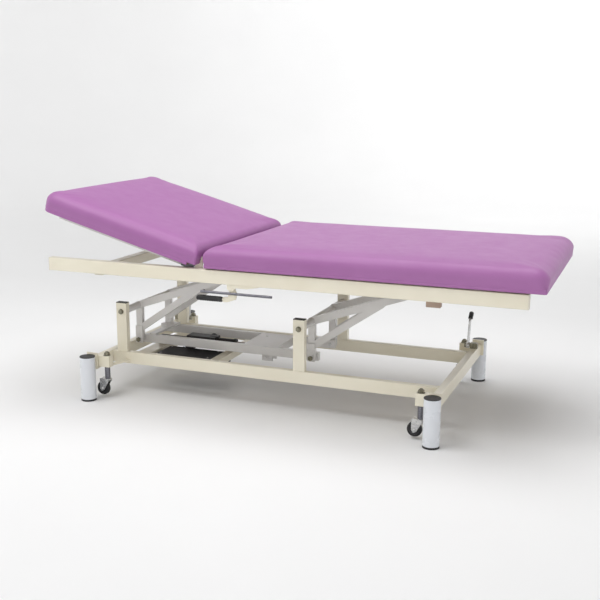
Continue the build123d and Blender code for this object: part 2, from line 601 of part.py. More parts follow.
with BuildPart() as back_board:
    with BuildSketch(BACK.offset(BACK_LOW)):
        with Locations(((-26 + BOARD_INSET - BACK_LEN) / 2, 0)):
            Rectangle(BACK_LEN - BOARD_INSET - 26, 2 * (PAD_HALF - BOARD_INSET))
    extrude(amount=BOARD_T)
    board_edges = back_board.edges().filter_by(lambda edge: abs(edge.length - BOARD_T) < 0.01)
    fillet(board_edges.sort_by(Axis.X)[:2], HEAD_CORNER - BOARD_INSET)
    for side in SIDES:
        back_block(-44, 0, side * 354, side * 386, BACK_LOW - 1, 0, mode=Mode.SUBTRACT)
save(back_board, "back_board")

FRAME_LOW = BACK_LOW - 25
with BuildPart() as back_side_tubes:
    for side in SIDES:
        back_block(-640, -30, side * 333, side * 358, FRAME_LOW, BACK_LOW)
save(back_side_tubes, "back_side_tubes")

with BuildPart() as back_cross_tubes:
    for u_mid in (-627, -330, -43):
        back_block(u_mid - 12.5, u_mid + 12.5, -333, 333, FRAME_LOW, BACK_LOW)
save(back_cross_tubes, "back_cross_tubes")

def back_side_plane(y):
    """A plane facing +Y in the back section, with local x towards its head end and local y up."""
    return Plane(origin=BACK.origin + Vector(0, y, 0), x_dir=-BACK.x_dir, z_dir=(0, 1, 0))


with BuildPart() as back_hinge_plates:
    for side in SIDES:
        with BuildSketch(back_side_plane(side * 358)):
            with BuildLine():
                Polyline((70, FRAME_LOW), (28, FRAME_LOW), (-9, -9), (0, 12), (18, 8), (41, BACK_LOW),
                         (70, BACK_LOW), close=True)
            make_face()
            Circle(12)
        extrude(amount=side * 7.5)
        back_pin = Plane(origin=BACK.origin + Vector(0, side * 356, 0), x_dir=(1, 0, 0), z_dir=(0, side, 0))
        with BuildSketch(back_pin):
            Circle(PIN_R)
        extrude(amount=24)
        with BuildSketch(back_pin.offset(20)):
            Circle(10)
        extrude(amount=4)
save(back_hinge_plates, "back_hinge_plates")

# The crank hangs from the rear cross tube; its slot takes the gas spring's cross pin.
CRANK = radians(GAS_SWING)
SLOT_NEAR = PIN_OFFSET
SLOT_FAR = PIN_OFFSET / cos(CRANK)
SLOT_MID = (SLOT_NEAR + SLOT_FAR) / 2
SLOT_PLACE = Location((-SLOT_MID * sin(CRANK), -SLOT_MID * cos(CRANK), 0), (0, 0, 90 - GAS_SWING))
with BuildPart() as gas_crank_plates:
    for side in SIDES:
        with BuildSketch(back_side_plane(side * 12)):
            with BuildLine():
                Polyline((55, FRAME_LOW), (31, FRAME_LOW), (-58, -75), (-42, -99), (55, FRAME_LOW - 18),
                         close=True)
            make_face()
            with Locations(SLOT_PLACE):
                SlotCenterToCenter(SLOT_FAR - SLOT_NEAR, 32)
                SlotCenterToCenter(SLOT_FAR - SLOT_NEAR, 17, mode=Mode.SUBTRACT)
        extrude(amount=side * 6)
save(gas_crank_plates, "gas_crank_plates")
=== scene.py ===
import bpy
import bmesh
import json
from math import cos, sin, pi, radians, tau
from mathutils import Matrix, Vector, noise


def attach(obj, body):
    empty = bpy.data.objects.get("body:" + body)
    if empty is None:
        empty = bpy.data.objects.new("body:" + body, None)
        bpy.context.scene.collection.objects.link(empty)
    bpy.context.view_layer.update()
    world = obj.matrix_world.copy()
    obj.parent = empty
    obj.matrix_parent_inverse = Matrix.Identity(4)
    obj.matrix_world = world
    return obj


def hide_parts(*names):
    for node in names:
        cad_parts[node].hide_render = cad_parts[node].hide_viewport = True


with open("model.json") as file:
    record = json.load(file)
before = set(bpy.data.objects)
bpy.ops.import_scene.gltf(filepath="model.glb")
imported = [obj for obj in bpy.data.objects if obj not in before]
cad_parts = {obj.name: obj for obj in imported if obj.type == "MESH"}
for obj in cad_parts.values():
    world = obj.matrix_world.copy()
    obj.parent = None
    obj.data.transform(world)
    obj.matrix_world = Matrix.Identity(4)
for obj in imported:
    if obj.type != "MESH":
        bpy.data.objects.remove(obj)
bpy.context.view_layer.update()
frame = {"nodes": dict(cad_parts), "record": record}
nodes = frame["nodes"]
scene = bpy.context.scene
scene.view_settings.view_transform = "Standard"
BASE_X = -90.75                     # middle of the base, mm
POST_X = {"head": -640, "foot": 141}
PIVOT_Z = 336                       # height of the levers' shafts
RAIL_SIDES = (247, 272)             # inner and outer faces of the base rails
CASTER_X, CASTER_Y = 650, 374
TUBE_X = (-148.6, 170, 632.4, 968)  # cross tubes of the top frame under the seat
DRIVE_Z = 171


def at(x, y, z):
    """A point in mm, X measured from the middle of the base."""
    return Vector(((BASE_X + x) / 1000, y / 1000, z / 1000))


# ------------------------------------------------------------------ materials
def principled(name, color, rough, metal=0.0, **extra):
    material = bpy.data.materials.new(name)
    material.use_nodes = True
    shader = material.node_tree.nodes["Principled BSDF"]
    shader.inputs["Base Color"].default_value = (*color, 1)
    shader.inputs["Roughness"].default_value = rough
    shader.inputs["Metallic"].default_value = metal
    for key, value in extra.items():
        shader.inputs[key.replace("_", " ")].default_value = value
    return material, shader


def noise_node(tree, scale, detail=3.0, stretch=None):
    coordinates = tree.nodes.new("ShaderNodeTexCoord")
    texture = tree.nodes.new("ShaderNodeTexNoise")
    texture.inputs["Scale"].default_value = scale
    texture.inputs["Detail"].default_value = detail
    if stretch:
        mapping = tree.nodes.new("ShaderNodeMapping")
        mapping.inputs["Scale"].default_value = stretch
        tree.links.new(coordinates.outputs["Object"], mapping.inputs["Vector"])
        tree.links.new(mapping.outputs["Vector"], texture.inputs["Vector"])
    else:
        tree.links.new(coordinates.outputs["Object"], texture.inputs["Vector"])
    return texture


def mottle(material, shader, low, high, scale, detail=3.0, stretch=None):
    """Base colour drifting between two close tones."""
    tree = material.node_tree
    texture = noise_node(tree, scale, detail, stretch)
    ramp = tree.nodes.new("ShaderNodeValToRGB")
    ramp.color_ramp.elements[0].position = 0.35
    ramp.color_ramp.elements[1].position = 0.65
    ramp.color_ramp.elements[0].color = (*low, 1)
    ramp.color_ramp.elements[1].color = (*high, 1)
    tree.links.new(texture.outputs["Fac"], ramp.inputs["Fac"])
    tree.links.new(ramp.outputs["Color"], shader.inputs["Base Color"])


def gloss_drift(material, shader, low, high, scale):
    """Roughness drifting between two values."""
    tree = material.node_tree
    texture = noise_node(tree, scale, 4.0)
    spread = tree.nodes.new("ShaderNodeMapRange")
    spread.inputs["From Min"].default_value = 0.3
    spread.inputs["From Max"].default_value = 0.7
    spread.inputs["To Min"].default_value = low
    spread.inputs["To Max"].default_value = high
    tree.links.new(texture.outputs["Fac"], spread.inputs["Value"])
    tree.links.new(spread.outputs["Result"], shader.inputs["Roughness"])


def relief(material, shader, layers, edge=0.0):
    """Stacked bumps; a layer is (texture kind, scale, height in metres, strength)."""
    tree = material.node_tree
    last = None
    if edge:
        rounded = tree.nodes.new("ShaderNodeBevel")
        rounded.samples = 4
        rounded.inputs["Radius"].default_value = edge
        last = rounded.outputs["Normal"]
    for kind, scale, height, strength in layers:
        if kind == "cells":
            coordinates = tree.nodes.new("ShaderNodeTexCoord")
            texture = tree.nodes.new("ShaderNodeTexVoronoi")
            texture.feature = "SMOOTH_F1"
            texture.inputs["Scale"].default_value = scale
            tree.links.new(coordinates.outputs["Object"], texture.inputs["Vector"])
            value = texture.outputs["Distance"]
        else:
            texture = noise_node(tree, scale)
            value = texture.outputs["Fac"]
        bump = tree.nodes.new("ShaderNodeBump")
        bump.inputs["Strength"].default_value = strength
        bump.inputs["Distance"].default_value = height
        tree.links.new(value, bump.inputs["Height"])
        if last:
            tree.links.new(last, bump.inputs["Normal"])
        last = bump.outputs["Normal"]
    tree.links.new(last, shader.inputs["Normal"])


def paint(name, low, high, rough):
    material, shader = principled(name, high, rough, Coat_Weight=0.25, Coat_Roughness=0.12)
    mottle(material, shader, low, high, 5.0)
    gloss_drift(material, shader, rough - 0.05, rough + 0.07, 14.0)
    relief(material, shader, [("noise", 420.0, 0.0002, 0.10)], edge=0.0014)
    return material


def plastic(name, low, high, rough, grain):
    material, shader = principled(name, high, rough)
    mottle(material, shader, low, high, 30.0)
    relief(material, shader, [("noise", grain, 0.00025, 0.25)], edge=0.0010)
    return material


def bare_metal(name, low, high, rough, stretch):
    material, shader = principled(name, high, rough, 1.0)
    mottle(material, shader, low, high, 60.0, stretch=stretch)
    gloss_drift(material, shader, rough * 0.8, rough * 1.35, 90.0)
    relief(material, shader, [("noise", 700.0, 0.00008, 0.12)], edge=0.0006)
    return material


def vinyl_material():
    material, shader = principled("purple_vinyl", (0.385, 0.150, 0.375), 0.42, Specular_IOR_Level=0.42)
    mottle(material, shader, (0.378, 0.145, 0.368), (0.393, 0.156, 0.383), 7.0, 4.0)
    gloss_drift(material, shader, 0.41, 0.48, 22.0)
    relief(material, shader, [
        ("noise", 12.0, 0.0006, 0.04),
        ("cells", 620.0, 0.00030, 0.30),
        ("noise", 1500.0, 0.00010, 0.25),
    ])
    return material


def wood_material():
    material, shader = principled("sealed_board", (0.20, 0.12, 0.07), 0.6)
    mottle(material, shader, (0.13, 0.075, 0.04), (0.25, 0.16, 0.09), 9.0, 6.0, (1.0, 14.0, 14.0))
    relief(material, shader, [("noise", 120.0, 0.0003, 0.3)])
    return material


MATERIALS = {
    "frame_paint": paint("cream_powder_coat", (0.83, 0.775, 0.625), (0.86, 0.81, 0.665), 0.34),
    # lever_paint is the frame's cream powder coat made greyer and darker: painted shade on the levers and
    # other inner parts, which wear the same cream paint as the frame
    "lever_paint": paint("cream_powder_coat_painted_shade", (0.69, 0.675, 0.66), (0.74, 0.725, 0.705), 0.34),
    "cream_plastic": plastic("cream_plastic", (0.76, 0.715, 0.60), (0.80, 0.755, 0.64), 0.42, 800.0),
    "tan_plastic": plastic("tan_plastic", (0.33, 0.235, 0.18), (0.38, 0.28, 0.21), 0.45, 800.0),
    "leg_paint": paint("white_powder_coat", (0.72, 0.745, 0.785), (0.765, 0.785, 0.82), 0.28),
    "vinyl": vinyl_material(),
    "board": wood_material(),
    "black_plastic": plastic("black_plastic", (0.012, 0.012, 0.013), (0.022, 0.022, 0.024), 0.46, 900.0),
    "zinc": bare_metal("bright_zinc", (0.52, 0.52, 0.53), (0.66, 0.66, 0.65), 0.27, (1.0, 6.0, 6.0)),
    "chrome": bare_metal("polished_chrome", (0.70, 0.71, 0.73), (0.80, 0.81, 0.83), 0.07, (1.0, 1.0, 1.0)),
    "gunmetal": bare_metal("dark_burnished_steel", (0.16, 0.16, 0.18), (0.24, 0.24, 0.27), 0.33,
                           (1.0, 1.0, 5.0)),
    "fastener": bare_metal("passivated_steel", (0.21, 0.20, 0.15), (0.33, 0.31, 0.24), 0.38,
                           (3.0, 3.0, 1.0)),
    "tread": plastic("wheel_rubber", (0.010, 0.010, 0.011), (0.018, 0.018, 0.019), 0.60, 500.0),
}
for row in frame["record"]["subparts"]:
    node = nodes[row["node"]]
    if not node.data.materials:
        node.data.materials.append(None)
    for index in range(len(node.data.materials)):
        node.data.materials[index] = MATERIALS[row["material_slot"]]


# ------------------------------------------------------------------ mesh helpers
def keep(mesh, name, slot, body):
    """Link a finished mesh as a piece that rides a body."""
    mesh.materials.clear()
    mesh.materials.append(MATERIALS[slot])
    piece = bpy.data.objects.new(name, mesh)
    scene.collection.objects.link(piece)
    for polygon in mesh.polygons:
        polygon.use_smooth = True
    mesh.set_sharp_from_angle(angle=radians(38))
    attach(piece, body)
    return piece


def bridge(build, rings, closed=True):
    """Join rings of vertices into a skin; closed also fills the two end rings."""
    count = len(rings[0])
    for low, high in zip(rings, rings[1:]):
        for k in range(count):
            n = (k + 1) % count
            build.faces.new((low[k], low[n], high[n], high[k]))
    if closed:
        build.faces.new(list(reversed(rings[0])))
        build.faces.new(rings[-1])


def turned(build, profile, centre, axis, steps=40, lobes=None):
    """Add a turned shape: profile is (distance along the axis, radius) pairs, in mm."""
    turn = Vector(axis).to_track_quat("Z", "Y").to_matrix()
    rings = []
    for along, radius in profile:
        ring = []
        for k in range(steps):
            angle = tau * k / steps
            r = radius * (lobes(angle) if lobes else 1)
            offset = Vector((r * cos(angle), r * sin(angle), along)) / 1000
            ring.append(build.verts.new(centre + turn @ offset))
        rings.append(ring)
    bridge(build, rings)


def hexagon(angle):
    """Radius of a hexagon, as a share of its inner radius."""
    return 1 / cos((angle + pi / 6) % (pi / 3) - pi / 6)


BEAD_SIDES = 10                     # sides of a weld bead's section
RIPPLE = 0.0012                     # spacing of its ripples, m


def bead(build, start, end, radius, seed):
    """Add a rippled weld bead between two points."""
    start, end = Vector(start), Vector(end)
    run = end - start
    turn = run.to_track_quat("Z", "Y").to_matrix()
    count = max(8, int(run.length / RIPPLE))
    rings = []
    for i in range(count + 1):
        t = i / count
        taper = min(1.0, 6 * t + 0.35, 6 * (1 - t) + 0.35)
        swell = 1 + 0.16 * sin(i * 1.55 + seed) + 0.12 * noise.noise(Vector((seed, t * 9, 0.3)))
        ring = []
        for k in range(BEAD_SIDES):
            angle = tau * k / BEAD_SIDES
            offset = Vector((cos(angle), sin(angle), 0)) * radius * taper * swell / 1000
            ring.append(build.verts.new(start + run * t + turn @ offset))
        rings.append(ring)
    bridge(build, rings)


def finish_mesh(build, name, slot, body):
    """Turn a bmesh into a finished piece."""
    bmesh.ops.recalc_face_normals(build, faces=build.faces)
    mesh = bpy.data.meshes.new(name)
    build.to_mesh(mesh)
    build.free()
    return keep(mesh, name, slot, body)


# ------------------------------------------------------------------ cushions
SIDE = 428.0                        # half width of the cushions, mm
FOLD = 8.6                          # height of the foam's underside over the board's
THICK = 84.0                        # top of the crown over the board's underside
WIDEST = 36.0                       # height of the widest line, where the shoulder starts
SHOULDER = 42.0                     # how far the shoulder runs in along the long sides
CORNER_POINTS = 9                   # points round one plan corner
PULL_IN = 3.0                       # how far the sides pull in midway between corners
PULL_DEPTH = 60.0                   # how deep into the cushion that reaches
CLOTH_FRAMES = 20
MOST_SWELL = 0.0050                 # limit that the cover's swelling nears, m


def slope(height):
    """How far the side leans in below the widest line, mm."""
    return 15.0 * max(0.0, 1 - height / 50) ** 1.3


def outline(u0, u1, r0, r1, inset, end0, end1):
    """Points round a rectangle with corners r0 and r1, drawn in by inset, end0 and end1."""
    points = []
    quarters = ((u1, SIDE, r1, 0), (u0, SIDE, r0, 90), (u0, -SIDE, r0, 180), (u1, -SIDE, r1, 270))
    for cu, cv, radius, start in quarters:
        end = end1 if cu == u1 else end0
        bend_u, bend_v = max(5.0, radius - end), max(5.0, radius - inset)
        mid_u = cu - (end + bend_u) * (1 if cu == u1 else -1)
        mid_v = cv - (inset + bend_v) * (1 if cv > 0 else -1)
        for k in range(CORNER_POINTS):
            angle = radians(start + 90 * k / (CORNER_POINTS - 1))
            points.append((mid_u + bend_u * cos(angle), mid_v + bend_v * sin(angle)))
    return points


def foam(span, corners, board_corners, shoulders, leans, place):
    """The foam block under the cover: leaning sides, a wide round shoulder, a crowned top.

    Its corners open out from the board's own corners to the wider ones of the shoulder."""
    u0, u1 = span
    build = bmesh.new()
    levels = [(60, 60, 60, FOLD)]
    for height in (FOLD, 14, 20, 26, 32, WIDEST):
        levels.append((slope(height), slope(height) * leans[0], slope(height) * leans[1], height))
    for k in range(1, 13):
        draw = 1 - cos(pi / 2 * k / 12)
        height = WIDEST + (THICK - 2 - WIDEST) * sin(pi / 2 * k / 12)
        under = slope(height)
        levels.append((under + SHOULDER * draw, under * leans[0] + shoulders[0] * draw,
                       under * leans[1] + shoulders[1] * draw, height))
    levels += [(90, 100, 100, THICK - 1), (170, 190, 190, THICK)]
    rings = []
    for inset, end0, end1, height in levels:
        open_out = min(1.0, (height - FOLD) / 32)
        r0, r1 = (a + (b - a) * open_out for a, b in zip(board_corners, corners))
        ring = outline(u0, u1, r0, r1, inset, end0, end1)
        rings.append([build.verts.new(place(u, v, height)) for u, v in ring])
    bridge(build, rings)
    bmesh.ops.recalc_face_normals(build, faces=build.faces)
    mesh = bpy.data.meshes.new("foam")
    build.to_mesh(mesh)
    build.free()
    return mesh


def evaluated_mesh(piece):
    """The mesh that a piece's modifiers give."""
    graph = bpy.context.evaluated_depsgraph_get()
    return bpy.data.meshes.new_from_object(piece.evaluated_get(graph))


def cut_notches(piece, notches, place):
    """Cut boxes out of a piece; a notch is (u0, u1, v0, v1, lowest, highest)."""
    sides = [(3, 2, 1, 0), (4, 5, 6, 7), (0, 1, 5, 4), (1, 2, 6, 5), (2, 3, 7, 6), (3, 0, 4, 7)]
    cutters = []
    for k, (u0, u1, v0, v1, h0, h1) in enumerate(notches):
        plan = ((u0, v0), (u1, v0), (u1, v1), (u0, v1))
        box = bpy.data.meshes.new("notch")
        box.from_pydata([place(u, v, h) for h in (h0, h1) for u, v in plan], [], sides)
        cutter = bpy.data.objects.new(f"notch_{k}", box)
        scene.collection.objects.link(cutter)
        cut = piece.modifiers.new(f"cut_{k}", "BOOLEAN")
        cut.operation = "DIFFERENCE"
        cut.solver = "EXACT"
        cut.object = cutter
        cutters.append(cutter)
    return cutters


def wrapped(name, core_mesh):
    """An even skin of quads lying on a closed mesh."""
    core = bpy.data.objects.new("core", core_mesh)
    piece = bpy.data.objects.new(name, core_mesh.copy())
    scene.collection.objects.link(core)
    scene.collection.objects.link(piece)
    remesh = piece.modifiers.new("remesh", "REMESH")
    remesh.mode = "VOXEL"
    remesh.voxel_size = 0.0088
    relax = piece.modifiers.new("relax", "SMOOTH")
    relax.factor = 0.5
    relax.iterations = 6
    wrap = piece.modifiers.new("wrap", "SHRINKWRAP")
    wrap.target = core
    wrap.wrap_method = "NEAREST_SURFACEPOINT"
    piece.data = evaluated_mesh(piece)
    piece.modifiers.clear()
    bpy.data.objects.remove(core)
    return piece


def inflate(piece):
    """Blow a cover up by a short cloth simulation; the held group stays put."""
    cloth = piece.modifiers.new("cloth", "CLOTH")
    settings = cloth.settings
    settings.quality = 4
    settings.mass = 0.35
    settings.tension_stiffness = 40
    settings.compression_stiffness = 40
    settings.shear_stiffness = 18
    settings.bending_stiffness = 4
    settings.tension_damping = 12
    settings.use_pressure = True
    settings.uniform_pressure_force = 4
    settings.vertex_group_mass = "held"
    settings.effector_weights.gravity = 0
    cloth.collision_settings.use_collision = False
    cloth.point_cache.frame_start = 1
    cloth.point_cache.frame_end = CLOTH_FRAMES
    for step in range(1, CLOTH_FRAMES + 1):
        scene.frame_set(step)
    blown = [vertex.co.copy() for vertex in evaluated_mesh(piece).vertices]
    piece.modifiers.clear()
    scene.frame_set(1)
    return blown


def cushion(node, name, body, origin, lean, low, span, corners, board_corners, shoulders, leans, notches,
            seed):
    """Inflate a cover over the foam by cloth simulation, then keep the result.

    A place on it is (u, v, height): along the couch and across it from origin, and up from the board's
    underside, which is low below origin. corners are the shoulder's plan radii at the u0 and u1 ends."""
    across = Vector((cos(lean), 0, -sin(lean)))
    up = Vector((sin(lean), 0, cos(lean)))

    def place(u, v, height):
        return origin + (across * u + Vector((0, v, 0)) + up * (height + low)) / 1000

    def local(point):
        offset = point - origin
        return offset.dot(across) * 1000, point.y * 1000, offset.dot(up) * 1000 - low

    piece = wrapped(name, foam(span, corners, board_corners, shoulders, leans, place))
    mesh = piece.data
    middle, half = (span[0] + span[1]) / 2, (span[1] - span[0]) / 2
    rest = []
    for vertex in mesh.vertices:
        u, v, height = local(vertex.co)
        u -= middle
        # the sides pull in a little between the corners
        bow_v = PULL_IN * (1 - min(1.0, abs(u) / half) ** 6) * max(0.0, 1 - (SIDE - abs(v)) / PULL_DEPTH)
        bow_u = PULL_IN * (1 - min(1.0, abs(v) / SIDE) ** 6) * max(0.0, 1 - (half - abs(u)) / PULL_DEPTH)
        low_share = min(1.0, max(0.0, (height - FOLD) / 12))
        move = across * (bow_u if u < 0 else -bow_u) + Vector((0, bow_v if v < 0 else -bow_v, 0))
        rest.append(vertex.co + move * low_share / 1000)
    for vertex, co in zip(mesh.vertices, rest):
        vertex.co = co
    held = piece.vertex_groups.new(name="held")
    for vertex in mesh.vertices:
        height = local(vertex.co)[2]
        weight = 1 - min(1.0, max(0.0, (height - FOLD - 3) / 12))
        if weight > 0:
            held.add([vertex.index], weight, "REPLACE")
    shape = inflate(piece)
    for vertex, a, b in zip(mesh.vertices, rest, shape):
        move = b - a
        if move.length > 1e-9:
            move = move * (MOST_SWELL / (MOST_SWELL + move.length))
        u, v, height = local(a)
        share = min(1.0, max(0.0, (height - FOLD - 2) / 10))
        waves = noise.noise(Vector((u * 0.005 + seed, v * 0.005, 0.5))) * 0.0004
        grip = max(0.0, 1 - abs(height - 19) / 15)
        pull = noise.noise(Vector((u * 0.03 + seed, v * 0.03, 2.5))) * 0.0011 * grip
        vertex.co = a + move * share + vertex.normal * (waves + pull) * share
    refine = piece.modifiers.new("refine", "SUBSURF")
    refine.levels = 1
    refine.render_levels = refine.levels
    cutters = cut_notches(piece, notches, place)
    final = evaluated_mesh(piece)
    for extra in [piece, *cutters]:
        bpy.data.objects.remove(extra)
    cover = keep(final, name, "vinyl", body)
    cover.data.set_sharp_from_angle(angle=radians(60))
    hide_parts(node)
    return place


def hem(name, body, span, corners, place, inner, open_end):
    """The cover's edge, folded under the board and stapled; open_end leaves out the u1 side."""
    u0, u1 = span
    build = bmesh.new()
    profile = [(14, 17), (12, 9.0), (12.4, 4.5), (13, 1.2), (14.4, -0.4), (17, -0.9), (inner, -1.1),
               (inner, -0.1)]
    rings = []
    for inset, height in profile:
        ring = outline(u0, u1, corners[0], corners[1], inset, inset, inset)
        rings.append([build.verts.new(place(u, v, height)) for u, v in ring])
    count = len(rings[0])
    skipped = [*range(CORNER_POINTS - 1), *range(count - CORNER_POINTS, count)] if open_end else []
    for low, high in zip(rings, rings[1:]):
        for k in range(count):
            if k in skipped:
                continue
            n = (k + 1) % count
            build.faces.new((low[k], low[n], high[n], high[k]))
    for vertex in [v for v in build.verts if not v.link_faces]:
        build.verts.remove(vertex)
    finish_mesh(build, name, "vinyl", body)


STAPLE_PITCH = 42
STAPLE_WIRE = (0.0006, 0.0004)      # half width and half height of a staple's flat wire, m
STAPLE_SIDES = 6


def staples(name, body, lines, place):
    """Rows of staples holding the folded edge; a line is (u, v) to (u, v)."""
    build = bmesh.new()
    for (ua, va), (ub, vb) in lines:
        run = ((ub - ua) ** 2 + (vb - va) ** 2) ** 0.5
        count = int(run / STAPLE_PITCH)
        du, dv = (ub - ua) / run, (vb - va) / run
        for k in range(count):
            t = (k + 0.5) * run / count + 3.0 * noise.noise(Vector((k * 0.7, run, 1.1)))
            u, v = ua + du * t, va + dv * t
            a, b = place(u - du * 5, v - dv * 5, -1.5), place(u + du * 5, v + dv * 5, -1.5)
            axis = b - a
            turn = axis.to_track_quat("Z", "Y").to_matrix()
            rings = []
            for along, rise in ((0, 0.9), (0.05, 0.1), (0.12, 0), (0.88, 0), (0.95, 0.1), (1, 0.9)):
                centre = a + axis * along + (place(0, 0, rise) - place(0, 0, 0))
                ring = []
                for j in range(STAPLE_SIDES):
                    angle = tau * j / STAPLE_SIDES
                    offset = Vector((STAPLE_WIRE[0] * cos(angle), STAPLE_WIRE[1] * sin(angle), 0))
                    ring.append(build.verts.new(centre + turn @ offset))
                rings.append(ring)
            bridge(build, rings)
    finish_mesh(build, name, "zinc", body)


LEAN = radians(15.4)                # the back section's angle at rest
SEAT, BACK = (-195, 1081), (-704, 16)
NOTCHES = [(-46, 16, side * 353, side * 387, -2, 51) for side in (-1, 1)]
seat_place = cushion(
    "seat_cushion", "seat_cover", "top_frame", at(0, 0, 573), 0.0, 0.0, SEAT,
    corners=(15, 60), board_corners=(15, 20), shoulders=(58, 56), leans=(0.5, 1.0), notches=[], seed=1.7)
back_place = cushion(
    "back_cushion", "back_cover", "back_section", at(-227, 0, 600), LEAN, -27.0, BACK,
    corners=(64, 12), board_corners=(50, 12), shoulders=(44, 34), leans=(0.9, 0.6), notches=NOTCHES, seed=8.3)
hem("seat_hem", "top_frame", (-200, SEAT[1]), (15, 20), seat_place, 19.5, False)
staples("seat_staples", "top_frame",
        [((-150, -410.2), (1030, -410.2)), ((-150, 410.2), (1030, 410.2)), ((1060.2, -370), (1060.2, 370))],
        seat_place)
hem("back_hem", "back_section", (BACK[0], -8), (50, 12), back_place, 32.0, True)
staples("back_staples", "back_section",
        [((-620, -402), (-70, -402)), ((-620, 402), (-70, 402)), ((-678, -350), (-678, 350))], back_place)

# ------------------------------------------------------------------ welds
welds = bmesh.new()
for end in (-1, 1):
    for side in (-1, 1):
        for y in (side * RAIL_SIDES[0], side * RAIL_SIDES[1]):
            bead(welds, at(end * 686, y, 122), at(end * 686, y, 166), 2.2, y + end)
        bead(welds, at(end * 686, side * 249, 169), at(end * 686, side * 270, 169), 2.2, side + 3.1 * end)
        for x in (end * 686, end * 716):
            bead(welds, at(x, side * 394, 124), at(x, side * 394, 167), 2.0, x + side)
for x in POST_X.values():
    for side in (-1, 1):
        for edge in (-23, 23):
            bead(welds, at(x + edge, side * 249, 169), at(x + edge, side * 270, 169), 2.2, edge + side)
        for y in (side * RAIL_SIDES[0], side * RAIL_SIDES[1]):
            bead(welds, at(x - 22, y, 169), at(x + 22, y, 169), 2.2, y)
for x in (-616, -556, -282, -242):
    for side in (-1, 1):
        bead(welds, at(x, side * 247, 121), at(x, side * 247, 147), 2.0, x + side)
finish_mesh(welds, "base_welds", "frame_paint", "base")

top_welds = bmesh.new()
for x in TUBE_X:
    for edge in (-20, 20):
        for side in (-1, 1):
            bead(top_welds, at(x + edge, side * 375, 535), at(x + edge, side * 375, 564), 1.9, x + edge)
for edge in (-20, 20):
    for side in (-1, 1):
        bead(top_welds, at(-672 + edge, side * 375, 517), at(-672 + edge, side * 375, 541), 1.9, edge)
finish_mesh(top_welds, "top_welds", "frame_paint", "top_frame")

for name, x in POST_X.items():
    lever_welds = bmesh.new()
    for side in (-1, 1):
        for k in range(12):
            a, b = tau * k / 12, tau * (k + 1) / 12
            y = side * 133.5
            bead(lever_welds, at(x + 15.6 * cos(a), y, PIVOT_Z + 15.6 * sin(a)),
                 at(x + 15.6 * cos(b), y, PIVOT_Z + 15.6 * sin(b)), 1.6, k)
    # the lever welds take lever_paint, the greyed copy of the cream coat that paints shade onto the levers
    finish_mesh(lever_welds, f"{name}_lever_welds", "lever_paint", f"{name}_lever")

# ------------------------------------------------------------------ fasteners
bolts = bmesh.new()
HEAD = [(0, 8.3), (0.5, 8.9), (5.2, 8.9), (6.6, 8.1), (6.6, 0.1)]
for x in POST_X.values():
    for side in (-1, 1):
        turned(bolts, HEAD, at(x, side * 274, PIVOT_Z), (0, side, 0), 48, hexagon)
NUT = [(0, 9.9), (0.5, 10.4), (8.4, 10.4), (9.2, 9.6), (9.9, 7.6), (12.5, 6.4), (14.3, 4.2), (15, 0.2)]
for end in (-1, 1):
    for side in (-1, 1):
        turned(bolts, NUT, at(end * CASTER_X, side * CASTER_Y, 178), (0, 0, 1), 48, hexagon)
finish_mesh(bolts, "base_bolt_heads", "fastener", "base")

BUTTON = [(0, 5.6), (0.8, 6.4), (2.2, 6.0), (3.4, 4.4), (3.6, 2.6), (2.4, 2.4), (2.4, 0.1)]
screws = bmesh.new()
for x in TUBE_X:
    for y in (-330, -215, 215, 330):
        turned(screws, BUTTON, at(x, y, 533), (0, 0, -1), 28)
finish_mesh(screws, "seat_board_screws", "zinc", "top_frame")

LEAN_UP = Vector((sin(LEAN), 0, cos(LEAN)))
LEAN_OUT = Vector((-cos(LEAN), 0, sin(LEAN)))
back_screws = bmesh.new()
for along in (330, 627):
    for y in (-300, -150, 0, 150, 300):
        spot = at(-227, y, 600) + LEAN_OUT * along / 1000 - LEAN_UP * 0.052
        turned(back_screws, BUTTON, spot, -LEAN_UP, 28)
finish_mesh(back_screws, "back_board_screws", "zinc", "back_section")

for name, x in POST_X.items():
    pins = bmesh.new()
    tip = at(x + 520 * cos(radians(19.1)), 0, PIVOT_Z + 520 * sin(radians(19.1)))
    for side in (-1, 1):
        turned(pins, [(0, 8.4), (0.6, 9.3), (4.6, 9.3), (5.6, 8.6), (5.6, 0.1)], at(x, side * 143, 187),
               (0, side, 0), 48, hexagon)
        turned(pins, [(0, 8.6), (1.5, 8.6), (1.5, 6.4), (2.6, 6.4), (2.6, 0.1)],
               tip + Vector((0, side * 0.143, 0)), (0, side, 0), 36)
    finish_mesh(pins, f"{name}_lever_pin_heads", "fastener", f"{name}_lever")

# ------------------------------------------------------------------ drive details
def toothed(angle):
    """Outline of a coarse gear."""
    wave = sin(angle * 18)
    return 1 + 0.075 * max(-1.0, min(1.0, wave * 2.6))


knob = bmesh.new()
knob_spot = at(-372, 32, 176)
turned(knob, [(0, 9), (1, 9), (1, 18.5), (2, 19.4), (10, 19.4), (11, 18.6)], knob_spot, (0, 1, 0), 216,
       toothed)
turned(knob, [(10, 12), (14, 11.4), (15, 10), (15, 0.1)], knob_spot, (0, 1, 0), 48)
finish_mesh(knob, "drive_knob", "black_plastic", "base")

clevis = bmesh.new()
turned(clevis, [(0, 12.6), (0, 14.2), (1, 15.2), (36, 15.2), (37, 14.4), (37, 3)], at(-126, 0, DRIVE_Z),
       (1, 0, 0), 48)
finish_mesh(clevis, "rod_end_sleeve", "black_plastic", "ram")
collar = bmesh.new()
turned(collar, [(0, 20.4), (0, 21.6), (1, 22.4), (9, 22.4), (10, 21.4), (10, 12.6), (3, 12.2)],
       at(-259, 0, DRIVE_Z), (1, 0, 0), 48)
finish_mesh(collar, "tube_end_collar", "black_plastic", "base")

